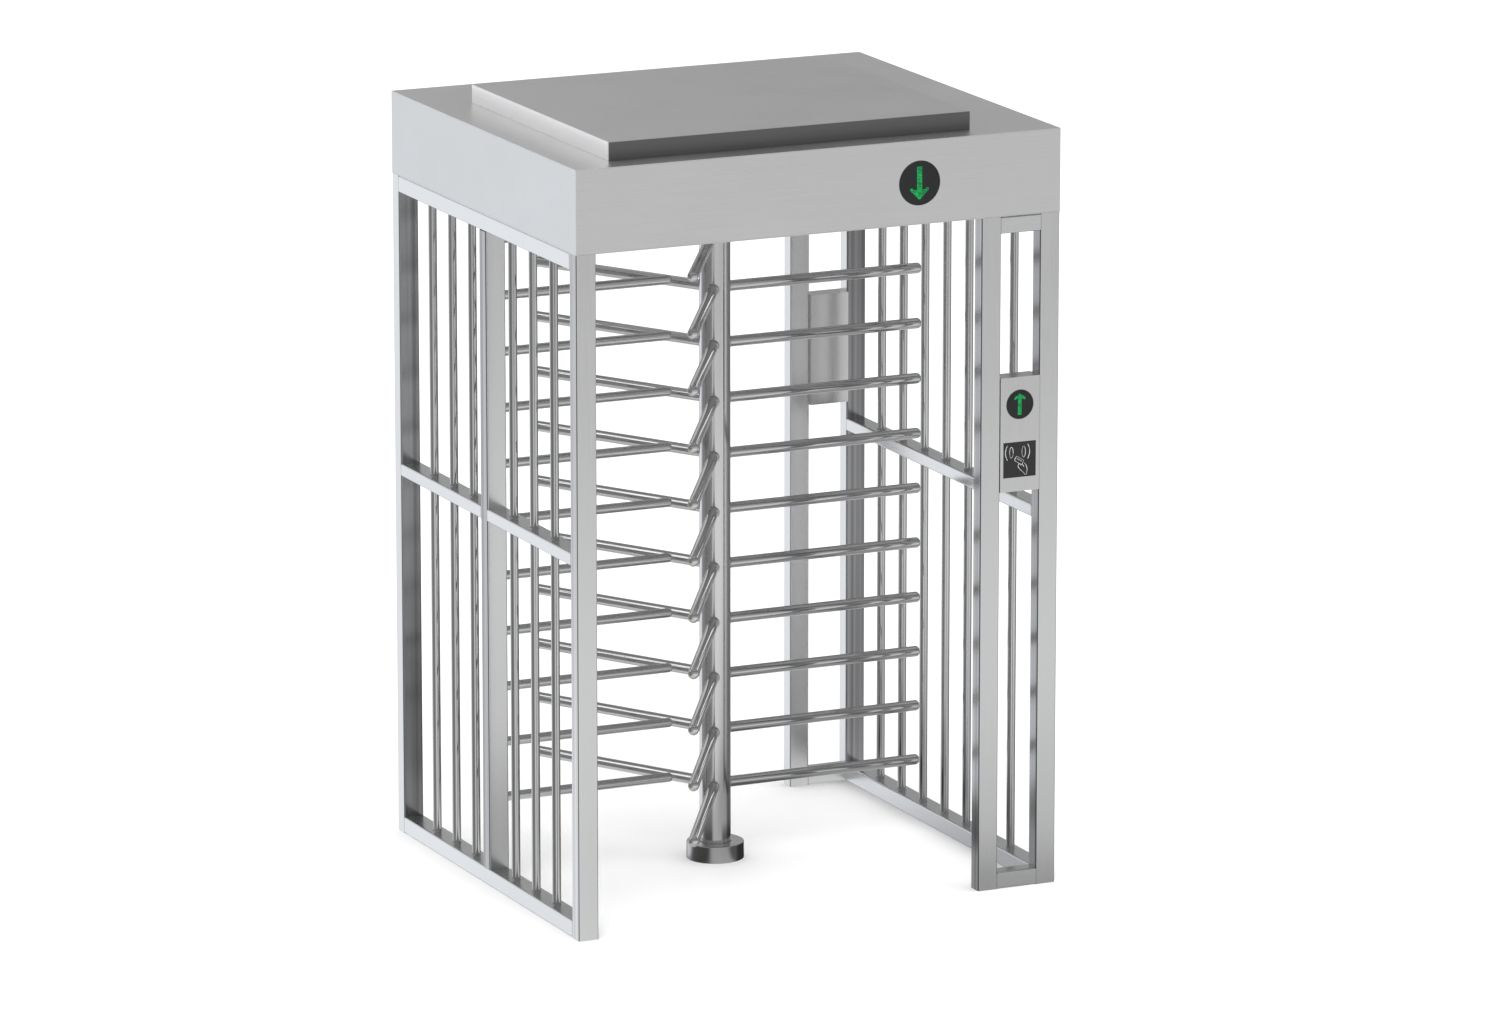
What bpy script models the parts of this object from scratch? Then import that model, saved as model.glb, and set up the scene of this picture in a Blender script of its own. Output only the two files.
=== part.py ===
"""Single-lane full-height turnstile: barred cage, canopy, comb barrier and three-wing rotor.

Metres, +Z up. The origin is the middle of the footprint on the floor. +X runs to the right of a person
who walks in along +Y.
"""

from math import cos, radians, sin

import bmesh
import bpy
from mathutils import Matrix, Vector

GAP = 0.0003  # clearance between touching pieces

# Overall size
WIDTH = 1.520
DEPTH = 1.345
HEIGHT = 2.300
CANOPY_TOP = 2.245
CANOPY_UNDERSIDE = 2.000

# Frame tubes
POST_WIDTH = 0.062
POST_DEPTH = 0.050
TUBE_WALL = 0.002
TUBE_CORNER = 0.005
RAIL_HEIGHT = 0.050
MID_RAIL_LOW = 1.094
MID_RAIL_HIGH = 1.132
BAR_RADIUS = 0.0125
BAR_WALL = 0.0015
BAR_PITCH = 0.1475
BAR_SIDES = 16

# Reader columns
INNER_POST_LEFT = 0.511
READER_LOW = 1.187
READER_HIGH = 1.525
READER_DEPTH = 0.060
READER_WALL = 0.003
INDICATOR_HEIGHT = 1.444
INDICATOR_RADIUS = 0.0435
CARD_READER_LOW = 1.229
CARD_READER_HIGH = 1.333
CARD_READER_WIDTH = 0.104
INSERT_DEPTH = 0.012
INDICATOR_SIDES = 40

# Canopy
SHEET = 0.002
DISPLAY_X = 0.311
DISPLAY_HEIGHT = 2.121
DISPLAY_RADIUS = 0.065
DISPLAY_DEPTH = 0.025
DISPLAY_SIDES = 48
LID_LOW = (-0.622, -0.588)
LID_HIGH = (0.512, 0.395)
CONTROLLER_LOW = (-0.320, -0.260)
CONTROLLER_HIGH = (0.040, 0.040, 2.288)
CONTROLLER_EDGE = 0.004

# Rotor
AXIS_X = -0.025
COLUMN_RADIUS = 0.046
COLUMN_WALL = 0.003
COLUMN_BOTTOM = 0.009
COLUMN_TOP = 1.997
SHAFT_RADIUS = 0.020
SHAFT_TOP = 2.118
COLUMN_SIDES = 48
ARM_RADIUS = 0.016
ARM_WALL = 0.002
PLUG_LENGTH = 0.008
ARM_LEVELS = 11
ARM_LOW = 0.224
ARM_PITCH = 0.1662
ARM_TIP = 0.667
ARM_SIDES = 16
ARM_EDGE = 0.004
STRIP_THICKNESS = 0.0015
STRIP_HALF_WIDTH = 0.010
STRIP_OVERHANG = 0.035
WING_ANGLES = {"wing_right": 0, "wing_rear": 120, "wing_front": 240}

# Comb barrier
COMB_RADIUS = 0.014
COMB_RISE = 0.035  # comb bars sit this far above the arm levels, so that the arms pass between them
COMB_END = -0.165

# Floor pieces of the rotor
BASE_RING_RADIUS = 0.085
BASE_RING_BORE = 0.0475
BASE_RING_HEIGHT = 0.050
BASE_RING_EDGE = 0.003
FOOT_HEIGHT = 0.045

# Mechanism inside the canopy
BEAM_LOW = 2.060
BEAM_HIGH = 2.070
BEAM_HALF_DEPTH = 0.120
HOUSING_RADIUS = 0.055
HOUSING_NECK_RADIUS = 0.036
HOUSING_FLANGE = 0.010
HOUSING_TOP = 2.100
DISC_LOW = 2.020
DISC_HIGH = 2.030
DISC_RADIUS = 0.100
DISC_HUB_RADIUS = 0.034
LUG_HEIGHT = 0.015
LUG_INNER = 0.075
LUG_OUTER = 0.095
LUG_HALF_WIDTH = 0.008
LUG_ANGLES = (30, 150, 270)
BOLT_ORBIT = 0.085
BOLT_RADIUS = 0.008
BOLT_TIP = 2.050
BOLT_TOP = 2.142
BOLT_HEAD_RADIUS = 0.011
BOLT_HEAD_TOP = 2.148
BOLT_SIDES = 24
BOLT_ANGLES = {"entry": 45, "exit": 15}
SOLENOID_RADIUS = 0.020
SOLENOID_TOP = 2.125
SOLENOID_SIDES = 32
HOLE_SIDES = 32
HOLE_CLEARANCE = 0.0005

FRONT = -DEPTH / 2
REAR = DEPTH / 2
LEFT = -WIDTH / 2
RIGHT = WIDTH / 2
LEFT_INNER = LEFT + POST_WIDTH
RIGHT_INNER = RIGHT - POST_WIDTH
INNER_POST_RIGHT = INNER_POST_LEFT + POST_WIDTH
FRAME_TOP = CANOPY_UNDERSIDE - GAP
POST_INSIDE = REAR - POST_DEPTH - GAP
COMB_POST_HALF = POST_DEPTH / 2

MATERIALS = {
    "frame_steel": ((0.60, 0.61, 0.62), 1.0, 0.32),
    "rotor_steel": ((0.56, 0.56, 0.57), 1.0, 0.18),
    "canopy_steel": ((0.55, 0.55, 0.56), 1.0, 0.36),
    "base_steel": ((0.42, 0.42, 0.43), 1.0, 0.20),
    "display_black": ((0.022, 0.024, 0.026), 0.0, 0.22),
    "reader_black": ((0.030, 0.031, 0.033), 0.0, 0.35),
    "mechanism_steel": ((0.50, 0.50, 0.48), 1.0, 0.40),
    "bearing_bronze": ((0.55, 0.38, 0.17), 1.0, 0.35),
    "solenoid_black": ((0.05, 0.05, 0.06), 0.0, 0.50),
    "controller_grey": ((0.30, 0.31, 0.32), 0.0, 0.55),
}


def clear_scene():
    for old in list(bpy.data.objects):
        bpy.data.objects.remove(old, do_unlink=True)


def new_collection(name, hidden=False):
    collection = bpy.data.collections.new(name)
    collection.hide_render = hidden
    bpy.context.scene.collection.children.link(collection)
    return collection


clear_scene()
TURNSTILE = new_collection("turnstile")
CUTTERS = new_collection("cutters", hidden=True)


def material(slot):
    """The Principled material of a slot, made once."""
    found = bpy.data.materials.get(slot)
    if found:
        return found
    colour, metallic, roughness = MATERIALS[slot]
    made = bpy.data.materials.new(slot)
    made.use_nodes = True
    shader = made.node_tree.nodes["Principled BSDF"]
    shader.inputs["Base Color"].default_value = (*colour, 1.0)
    shader.inputs["Metallic"].default_value = metallic
    shader.inputs["Roughness"].default_value = roughness
    return made


def part(name, mesh, slot):
    """A sub-part of the turnstile that shows this mesh."""
    obj = bpy.data.objects.new(name, mesh)
    if not mesh.materials:
        mesh.materials.append(material(slot))
    TURNSTILE.objects.link(obj)
    return obj


def helper(name, mesh):
    """A cutter, or a piece to join on, that isn't a part of its own."""
    obj = bpy.data.objects.new(name, mesh)
    obj.hide_render = True
    obj.display_type = "WIRE"
    CUTTERS.objects.link(obj)
    return obj


def mesh_from(bm, name, smooth=False):
    mesh = bpy.data.meshes.new(name)
    bm.to_mesh(mesh)
    bm.free()
    if smooth:
        mesh.shade_smooth()
        mesh.set_sharp_from_angle(angle=radians(35))
    return mesh


def box_mesh(name, low, high, open_axis=None):
    """A box between two corners. With open_axis, the two faces across that axis are left out."""
    low = Vector(low)
    high = Vector(high)
    bm = bmesh.new()
    bmesh.ops.create_cube(bm, size=1.0)
    bmesh.ops.scale(bm, vec=high - low, verts=bm.verts)
    bmesh.ops.translate(bm, vec=(low + high) / 2, verts=bm.verts)
    if open_axis is not None:
        bm.normal_update()
        ends = [face for face in bm.faces if abs(face.normal[open_axis]) > 0.5]
        bmesh.ops.delete(bm, geom=ends, context="FACES")
    return mesh_from(bm, name)


def cylinder_mesh(name, radius, start, end, sides, ends=True):
    """A cylinder from the point start to the point end, with or without its two end faces."""
    start = Vector(start)
    end = Vector(end)
    along = end - start
    turn = Vector((0, 0, 1)).rotation_difference(along).to_matrix().to_4x4()
    place = Matrix.Translation((start + end) / 2) @ turn
    bm = bmesh.new()
    bmesh.ops.create_cone(
        bm, cap_ends=ends, segments=sides, radius1=radius, radius2=radius, depth=along.length, matrix=place
    )
    return mesh_from(bm, name, smooth=True)


def outline_mesh(name, points, closed=True):
    """The profile of a turned piece as edges in the XZ plane: (radius, height) pairs."""
    edges = [(i, i + 1) for i in range(len(points) - 1)]
    if closed:
        edges.append((len(points) - 1, 0))
    mesh = bpy.data.meshes.new(name)
    mesh.from_pydata([(radius, 0, height) for radius, height in points], edges, [])
    return mesh


def turned(name, points, sides, slot, closed=True):
    """A turned piece about its own Z axis."""
    obj = part(name, outline_mesh(name, points, closed), slot)
    add_screw(obj, sides)
    return obj


def add_screw(obj, sides):
    screw = obj.modifiers.new("turn", "SCREW")
    screw.steps = sides
    screw.render_steps = sides
    screw.use_merge_vertices = True
    screw.merge_threshold = 0.0001
    screw.use_smooth_shade = True


def add_bevel(obj, width, segments=2):
    bevel = obj.modifiers.new("round", "BEVEL")
    bevel.width = width
    bevel.segments = segments
    bevel.limit_method = "ANGLE"
    bevel.angle_limit = radians(40)
    return bevel


def add_wall(obj, thickness):
    """Turns an open surface into sheet metal that grows inwards."""
    wall = obj.modifiers.new("wall", "SOLIDIFY")
    wall.thickness = thickness
    wall.offset = -1.0
    wall.use_even_offset = True


def add_boolean(obj, other, operation):
    boolean = obj.modifiers.new(operation.lower(), "BOOLEAN")
    boolean.operation = operation
    boolean.solver = "EXACT"
    boolean.object = other


def fixed_mesh(obj, name):
    """The mesh that the object's modifiers give, as a mesh of its own."""
    graph = bpy.context.evaluated_depsgraph_get()
    graph.update()
    mesh = bpy.data.meshes.new_from_object(obj.evaluated_get(graph))
    mesh.name = name
    mesh.materials.clear()
    return mesh


def tube(name, low, high, axis, slot="frame_steel"):
    """A rectangular tube with rounded corners and open ends along the axis 0, 1 or 2."""
    obj = part(name, box_mesh(name, low, high, open_axis=axis), slot)
    add_bevel(obj, TUBE_CORNER, 3)
    add_wall(obj, TUBE_WALL)
    return obj


def panel(name, low, high, slot="canopy_steel"):
    """A flat sheet panel."""
    return part(name, box_mesh(name, low, high), slot)


def cut_round_hole(obj, radius, start, end, sides=HOLE_SIDES):
    cutter = helper(f"{obj.name}_hole", cylinder_mesh(f"{obj.name}_hole", radius, start, end, sides))
    add_boolean(obj, cutter, "DIFFERENCE")


def on_circle(radius, degrees, height=0.0):
    """A point at this angle about the rotor's axis."""
    angle = radians(degrees)
    return Vector((AXIS_X + radius * cos(angle), radius * sin(angle), height))


def post(name, left, front):
    """An upright tube from the floor to the canopy, with its left front corner at (left, front)."""
    tube(name, (left, front, 0), (left + POST_WIDTH, front + POST_DEPTH, FRAME_TOP), 2)


def bar_places(numbers):
    return [number * BAR_PITCH for number in numbers]


def bars(prefix, x, numbers):
    """Round tubes from the bottom rail to the top rail, through the holes of the mid rail."""
    for index, y in enumerate(bar_places(numbers), start=1):
        low = (x, y, RAIL_HEIGHT + GAP)
        high = (x, y, FRAME_TOP - RAIL_HEIGHT - GAP)
        name = f"{prefix}_bar_{index}"
        bar = part(name, cylinder_mesh(name, BAR_RADIUS, low, high, BAR_SIDES, ends=False), "frame_steel")
        add_wall(bar, BAR_WALL)


def mid_rail(name, left, front, rear, numbers):
    """A mid rail between two posts, with a hole for each bar."""
    obj = tube(name, (left, front, MID_RAIL_LOW), (left + POST_WIDTH, rear, MID_RAIL_HIGH), 1)
    x = left + POST_WIDTH / 2
    margin = 0.01
    for y in bar_places(numbers):
        cut_round_hole(
            obj, BAR_RADIUS + GAP, (x, y, MID_RAIL_LOW - margin), (x, y, MID_RAIL_HIGH + margin), BAR_SIDES
        )


def long_rail(name, left, low):
    """A rail from the front post to the rear post."""
    tube(name, (left, -POST_INSIDE, low), (left + POST_WIDTH, POST_INSIDE, low + RAIL_HEIGHT), 1)


def left_cage():
    post("left_front_post", LEFT, FRONT)
    post("left_rear_post", LEFT, REAR - POST_DEPTH)
    long_rail("left_top_rail", LEFT, FRAME_TOP - RAIL_HEIGHT)
    long_rail("left_bottom_rail", LEFT, 0)
    comb_face = COMB_POST_HALF + GAP
    mid_rail("left_mid_rail_front", LEFT, -POST_INSIDE, -comb_face, (-3, -2, -1))
    mid_rail("left_mid_rail_rear", LEFT, comb_face, POST_INSIDE, (1, 2, 3))
    bars("left", LEFT + POST_WIDTH / 2, (-3, -2, -1, 1, 2, 3))


def arm_heights():
    return [ARM_LOW + level * ARM_PITCH for level in range(ARM_LEVELS)]


def cylinder_row(name, radius, near, far, heights, edge=0.0):
    """Parallel cylinders along +X, one at each height, as one helper. The edge of each far end is rounded."""
    row = bmesh.new()
    for height in heights:
        cylinder = cylinder_mesh(name, radius, (near, 0, height), (far, 0, height), ARM_SIDES)
        row.from_mesh(cylinder)
        bpy.data.meshes.remove(cylinder)
    if edge:
        rims = [e for e in row.edges if all(abs(v.co.x - far) < GAP for v in e.verts)]
        bmesh.ops.bevel(row, geom=rims, offset=edge, segments=2, profile=0.5, affect="EDGES")
    return helper(name, mesh_from(row, name, smooth=True))


def comb_barrier():
    """The post in the middle of the left cage, with its row of horizontal bars welded on."""
    low = (LEFT, -COMB_POST_HALF, RAIL_HEIGHT + GAP)
    high = (LEFT_INNER, COMB_POST_HALF, FRAME_TOP - RAIL_HEIGHT - GAP)
    barrier = tube("comb_barrier", low, high, 2)
    root = LEFT_INNER - TUBE_WALL / 2
    heights = [height + COMB_RISE for height in arm_heights()]
    row = cylinder_row("comb_bars", COMB_RADIUS, root, COMB_END, heights)
    add_boolean(barrier, row, "UNION")
    inside = LEFT_INNER - 2 * TUBE_WALL
    hollow = cylinder_row("comb_hollows", COMB_RADIUS - ARM_WALL, inside, COMB_END - PLUG_LENGTH, heights)
    add_boolean(barrier, hollow, "DIFFERENCE")


def right_cage():
    post("right_front_post", RIGHT_INNER, FRONT)
    post("right_rear_post", RIGHT_INNER, REAR - POST_DEPTH)
    post("front_inner_post", INNER_POST_LEFT, FRONT)
    post("rear_inner_post", INNER_POST_LEFT, REAR - POST_DEPTH)
    long_rail("right_top_rail", RIGHT_INNER, FRAME_TOP - RAIL_HEIGHT)
    long_rail("right_bottom_rail", RIGHT_INNER, 0)
    numbers = (-3, -2, -1, 0, 1, 2, 3)
    mid_rail("right_mid_rail", RIGHT_INNER, -POST_INSIDE, POST_INSIDE, numbers)
    bars("right", RIGHT_INNER + POST_WIDTH / 2, numbers)


def cross_pieces():
    """The short tubes that tie each inner post to its outer post, at the top and at the floor."""
    left = INNER_POST_RIGHT + GAP
    right = RIGHT_INNER - GAP
    for side, front in (("front", FRONT), ("rear", REAR - POST_DEPTH)):
        for place, low in (("top", FRAME_TOP - RAIL_HEIGHT), ("bottom", 0)):
            tube(
                f"{side}_{place}_cross", (left, front, low), (right, front + POST_DEPTH, low + RAIL_HEIGHT), 0
            )


def reader_column(side, face, inward):
    """One card reader box: its outer face is at Y = face, and inward is +1 or -1 along Y."""
    left = INNER_POST_RIGHT + GAP
    right = RIGHT_INNER - GAP
    middle = (left + right) / 2
    back = face + inward * READER_DEPTH
    low = (left, min(face, back), READER_LOW)
    high = (right, max(face, back), READER_HIGH)
    housing = part(f"{side}_reader_housing", box_mesh(f"{side}_reader_housing", low, high), "frame_steel")

    inner = READER_WALL
    hollow = box_mesh(
        f"{side}_reader_hollow",
        (low[0] + inner, low[1] + inner, low[2] + inner),
        (high[0] - inner, high[1] - inner, high[2] - inner),
    )
    add_boolean(housing, helper(f"{side}_reader_hollow", hollow), "DIFFERENCE")
    outside = face - inward * READER_WALL
    inside = face + inward * 2 * READER_WALL
    lamp_hole = ((middle, outside, INDICATOR_HEIGHT), (middle, inside, INDICATOR_HEIGHT))
    cut_round_hole(housing, INDICATOR_RADIUS + GAP, *lamp_hole, INDICATOR_SIDES)
    half = CARD_READER_WIDTH / 2
    window = box_mesh(
        f"{side}_reader_window",
        (middle - half - GAP, min(outside, inside), CARD_READER_LOW - GAP),
        (middle + half + GAP, max(outside, inside), CARD_READER_HIGH + GAP),
    )
    add_boolean(housing, helper(f"{side}_reader_window", window), "DIFFERENCE")

    insert_back = face + inward * INSERT_DEPTH
    lamp = cylinder_mesh(
        f"{side}_indicator",
        INDICATOR_RADIUS,
        (middle, face, INDICATOR_HEIGHT),
        (middle, insert_back, INDICATOR_HEIGHT),
        INDICATOR_SIDES,
    )
    part(f"{side}_indicator", lamp, "display_black")
    plate = box_mesh(
        f"{side}_card_reader",
        (middle - half, min(face, insert_back), CARD_READER_LOW),
        (middle + half, max(face, insert_back), CARD_READER_HIGH),
    )
    part(f"{side}_card_reader", plate, "reader_black")


def canopy_face(side, face, inward):
    """The front or rear panel of the canopy, with its round display."""
    back = face + inward * SHEET
    low = (LEFT, min(face, back), CANOPY_UNDERSIDE + SHEET + GAP)
    high = (RIGHT, max(face, back), CANOPY_TOP - SHEET - GAP)
    sheet = panel(f"canopy_{side}_panel", low, high)
    start = (DISPLAY_X, face - inward * SHEET, DISPLAY_HEIGHT)
    end = (DISPLAY_X, face + inward * 2 * SHEET, DISPLAY_HEIGHT)
    cut_round_hole(sheet, DISPLAY_RADIUS + GAP, start, end, DISPLAY_SIDES)
    display = cylinder_mesh(
        f"{side}_display",
        DISPLAY_RADIUS,
        (DISPLAY_X, face, DISPLAY_HEIGHT),
        (DISPLAY_X, face + inward * DISPLAY_DEPTH, DISPLAY_HEIGHT),
        DISPLAY_SIDES,
    )
    part(f"{side}_display", display, "display_black")


def canopy():
    canopy_face("front", FRONT, 1)
    canopy_face("rear", REAR, -1)
    side_end = REAR - SHEET - GAP
    low = CANOPY_UNDERSIDE + SHEET + GAP
    high = CANOPY_TOP - SHEET - GAP
    panel("canopy_left_panel", (LEFT, -side_end, low), (LEFT + SHEET, side_end, high))
    panel("canopy_right_panel", (RIGHT - SHEET, -side_end, low), (RIGHT, side_end, high))
    panel("canopy_top_plate", (LEFT, FRONT, CANOPY_TOP - SHEET), (RIGHT, REAR, CANOPY_TOP))
    base = panel("canopy_base_plate", (LEFT, FRONT, CANOPY_UNDERSIDE), (RIGHT, REAR, CANOPY_UNDERSIDE + SHEET))
    hole = SHAFT_RADIUS + 2 * HOLE_CLEARANCE
    below = (AXIS_X, 0, CANOPY_UNDERSIDE - SHEET)
    cut_round_hole(base, hole, below, (AXIS_X, 0, CANOPY_UNDERSIDE + 2 * SHEET))


def raised_lid():
    """An upturned tray on the top plate."""
    bottom = CANOPY_TOP + GAP
    box = box_mesh("raised_lid", (*LID_LOW, bottom), (*LID_HIGH, HEIGHT))
    bm = bmesh.new()
    bm.from_mesh(box)
    bm.normal_update()
    floor = [face for face in bm.faces if face.normal.z < -0.5]
    bmesh.ops.delete(bm, geom=floor, context="FACES")
    bm.to_mesh(box)
    bm.free()
    add_wall(part("raised_lid", box, "canopy_steel"), SHEET)


def column_profile():
    """Half section of the column: a tube closed at the top, with the narrower shaft above it."""
    bore = COLUMN_RADIUS - COLUMN_WALL
    lead = 0.002
    return (
        (0, SHAFT_TOP),
        (SHAFT_RADIUS - lead, SHAFT_TOP),
        (SHAFT_RADIUS, SHAFT_TOP - lead),
        (SHAFT_RADIUS, COLUMN_TOP),
        (COLUMN_RADIUS - lead, COLUMN_TOP),
        (COLUMN_RADIUS, COLUMN_TOP - lead),
        (COLUMN_RADIUS, COLUMN_BOTTOM),
        (bore, COLUMN_BOTTOM),
        (bore, COLUMN_TOP - 2 * COLUMN_WALL),
        (0, COLUMN_TOP - 2 * COLUMN_WALL),
    )


def wing_mesh():
    """A fixing strip with its tubular arms, cut to the round of the column, about the rotor's axis."""
    heights = arm_heights()
    inner = COLUMN_RADIUS + GAP
    low = (inner - STRIP_THICKNESS, -STRIP_HALF_WIDTH, heights[0] - STRIP_OVERHANG)
    high = (inner + STRIP_THICKNESS, STRIP_HALF_WIDTH, heights[-1] + STRIP_OVERHANG)
    strip = helper("wing_strip", box_mesh("wing_strip", low, high))
    root = COLUMN_RADIUS * 0.7
    add_boolean(strip, cylinder_row("wing_arms", ARM_RADIUS, root, ARM_TIP, heights, ARM_EDGE), "UNION")
    hollow = cylinder_row("wing_hollows", ARM_RADIUS - ARM_WALL, root, ARM_TIP - PLUG_LENGTH, heights)
    add_boolean(strip, hollow, "DIFFERENCE")
    column = cylinder_mesh("wing_bore", inner, (0, 0, 0), (0, 0, COLUMN_TOP), COLUMN_SIDES)
    add_boolean(strip, helper("wing_bore", column), "DIFFERENCE")
    mesh = fixed_mesh(strip, "wing")
    mesh.materials.append(material("rotor_steel"))
    return mesh


def rotor():
    """The turning assembly: everything is parented to an empty on the rotor's axis."""
    axis = bpy.data.objects.new("rotor_axis", None)
    axis.location = (AXIS_X, 0, 0)
    TURNSTILE.objects.link(axis)
    column = turned("rotor_column", column_profile(), COLUMN_SIDES, "rotor_steel", closed=False)
    column.parent = axis
    mesh = wing_mesh()
    for name, degrees in WING_ANGLES.items():
        wing = part(name, mesh, "rotor_steel")
        wing.parent = axis
        wing.rotation_euler.z = radians(degrees)
    index_disc().parent = axis


def index_disc():
    """The disc on the shaft, with the three lugs that the lock bolts stop."""
    bore = SHAFT_RADIUS + GAP
    hub_top = DISC_HIGH + LUG_HEIGHT
    profile = (
        (bore, hub_top),
        (DISC_HUB_RADIUS, hub_top),
        (DISC_HUB_RADIUS, DISC_HIGH),
        (DISC_RADIUS, DISC_HIGH),
        (DISC_RADIUS, DISC_LOW),
        (bore, DISC_LOW),
    )
    disc = turned("index_disc", profile, COLUMN_SIDES, "mechanism_steel")
    lugs = bmesh.new()
    for degrees in LUG_ANGLES:
        low = (LUG_INNER, -LUG_HALF_WIDTH, DISC_HIGH - GAP)
        lug = box_mesh("lug", low, (LUG_OUTER, LUG_HALF_WIDTH, DISC_HIGH + LUG_HEIGHT))
        lug.transform(Matrix.Rotation(radians(degrees), 4, "Z"))
        lugs.from_mesh(lug)
        bpy.data.meshes.remove(lug)
    lug_helper = helper("index_lugs", mesh_from(lugs, "index_lugs"))
    lug_helper.location = (AXIS_X, 0, 0)
    add_boolean(disc, lug_helper, "UNION")
    return disc


def floor_pieces():
    """The ring that is anchored to the floor, and the foot bearing inside the column."""
    ring = (
        (BASE_RING_BORE, BASE_RING_HEIGHT),
        (BASE_RING_RADIUS - BASE_RING_EDGE, BASE_RING_HEIGHT),
        (BASE_RING_RADIUS - BASE_RING_EDGE * 0.3, BASE_RING_HEIGHT - BASE_RING_EDGE * 0.3),
        (BASE_RING_RADIUS, BASE_RING_HEIGHT - BASE_RING_EDGE),
        (BASE_RING_RADIUS, 0),
        (BASE_RING_BORE, 0),
    )
    turned("base_ring", ring, COLUMN_SIDES, "base_steel").location.x = AXIS_X
    boss = COLUMN_RADIUS - COLUMN_WALL - GAP
    flange = COLUMN_BOTTOM - 2 * GAP
    foot = (
        (0, FOOT_HEIGHT),
        (boss, FOOT_HEIGHT),
        (boss, flange),
        (COLUMN_RADIUS, flange),
        (COLUMN_RADIUS, 0),
        (0, 0),
    )
    turned("foot_bearing", foot, COLUMN_SIDES, "bearing_bronze", closed=False).location.x = AXIS_X


def beam_and_housing():
    """The beam across the canopy, and the bearing housing that stands on it."""
    end = RIGHT - SHEET - GAP
    beam = part(
        "bearing_beam",
        box_mesh("bearing_beam", (-end, -BEAM_HALF_DEPTH, BEAM_LOW), (end, BEAM_HALF_DEPTH, BEAM_HIGH)),
        "mechanism_steel",
    )
    margin = 0.005
    holes = [(Vector((AXIS_X, 0, 0)), SHAFT_RADIUS + HOLE_CLEARANCE)]
    for degrees in BOLT_ANGLES.values():
        holes.append((on_circle(BOLT_ORBIT, degrees), BOLT_RADIUS + HOLE_CLEARANCE))
    for centre, radius in holes:
        low = centre + Vector((0, 0, BEAM_LOW - margin))
        cut_round_hole(beam, radius, low, centre + Vector((0, 0, BEAM_HIGH + margin)))
    bore = SHAFT_RADIUS + GAP
    flange = BEAM_HIGH + HOUSING_FLANGE
    profile = (
        (bore, HOUSING_TOP),
        (HOUSING_NECK_RADIUS, HOUSING_TOP),
        (HOUSING_NECK_RADIUS, flange),
        (HOUSING_RADIUS, flange),
        (HOUSING_RADIUS, BEAM_HIGH + GAP),
        (bore, BEAM_HIGH + GAP),
    )
    turned("bearing_housing", profile, COLUMN_SIDES, "mechanism_steel").location.x = AXIS_X


def lock(name, degrees):
    """One lock bolt, drawn up by its spring, and the solenoid that drives it down beside a lug."""
    lead = 0.001
    head_low = BOLT_TOP - BOLT_TIP
    head_high = BOLT_HEAD_TOP - BOLT_TIP
    profile = (
        (0, head_high),
        (BOLT_HEAD_RADIUS, head_high),
        (BOLT_HEAD_RADIUS, head_low),
        (BOLT_RADIUS, head_low),
        (BOLT_RADIUS, lead),
        (BOLT_RADIUS - lead, 0),
        (0, 0),
    )
    bolt = turned(f"{name}_bolt", profile, BOLT_SIDES, "mechanism_steel", closed=False)
    bolt.location = on_circle(BOLT_ORBIT, degrees, BOLT_TIP)
    bore = BOLT_RADIUS + HOLE_CLEARANCE
    height = SOLENOID_TOP - BEAM_HIGH - GAP
    body = ((bore, height), (SOLENOID_RADIUS, height), (SOLENOID_RADIUS, 0), (bore, 0))
    solenoid = turned(f"{name}_solenoid", body, SOLENOID_SIDES, "solenoid_black")
    solenoid.location = on_circle(BOLT_ORBIT, degrees, BEAM_HIGH + GAP)


def controller_box():
    """The electronics box on the top plate, under the lid."""
    low = (*CONTROLLER_LOW, CANOPY_TOP + GAP)
    box = part("controller_box", box_mesh("controller_box", low, CONTROLLER_HIGH), "controller_grey")
    add_bevel(box, CONTROLLER_EDGE)


left_cage()
comb_barrier()
right_cage()
cross_pieces()
reader_column("front", FRONT, 1)
reader_column("rear", REAR, -1)
canopy()
raised_lid()
rotor()
floor_pieces()
beam_and_housing()
for lock_name, lock_angle in BOLT_ANGLES.items():
    lock(lock_name, lock_angle)
controller_box()
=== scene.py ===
"""Looks of the full-height turnstile: stainless tubes, rotor, canopy, displays and card readers.

Every piece is built in metres in the frame's own coordinates: +Z up, +X to the right of a person who
walks in along +Y.
"""

from math import cos, pi, radians, sin, sqrt

import bmesh
import bpy
from mathutils import Matrix, Vector, noise


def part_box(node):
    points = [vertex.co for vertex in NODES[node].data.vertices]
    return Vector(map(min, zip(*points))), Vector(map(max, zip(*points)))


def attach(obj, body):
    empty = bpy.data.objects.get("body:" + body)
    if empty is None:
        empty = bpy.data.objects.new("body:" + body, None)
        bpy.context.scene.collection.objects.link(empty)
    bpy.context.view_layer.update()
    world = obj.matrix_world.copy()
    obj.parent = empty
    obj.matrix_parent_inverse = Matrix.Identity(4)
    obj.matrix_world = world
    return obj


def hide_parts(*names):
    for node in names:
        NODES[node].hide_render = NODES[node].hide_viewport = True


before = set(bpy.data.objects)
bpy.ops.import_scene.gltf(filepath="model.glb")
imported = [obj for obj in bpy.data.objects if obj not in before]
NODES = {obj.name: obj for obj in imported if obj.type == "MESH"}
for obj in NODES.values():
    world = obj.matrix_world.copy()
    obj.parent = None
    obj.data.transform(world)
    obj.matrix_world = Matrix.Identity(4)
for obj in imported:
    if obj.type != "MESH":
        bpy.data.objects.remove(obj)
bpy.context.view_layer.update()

# Tubes and turned pieces
CORNER = 0.005
WALL = 0.002
GAP = 0.0003
CORNER_STEPS = 5
BAR_SIDES = 32
ARM_SIDES = 32
COLUMN_SIDES = 96
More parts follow.
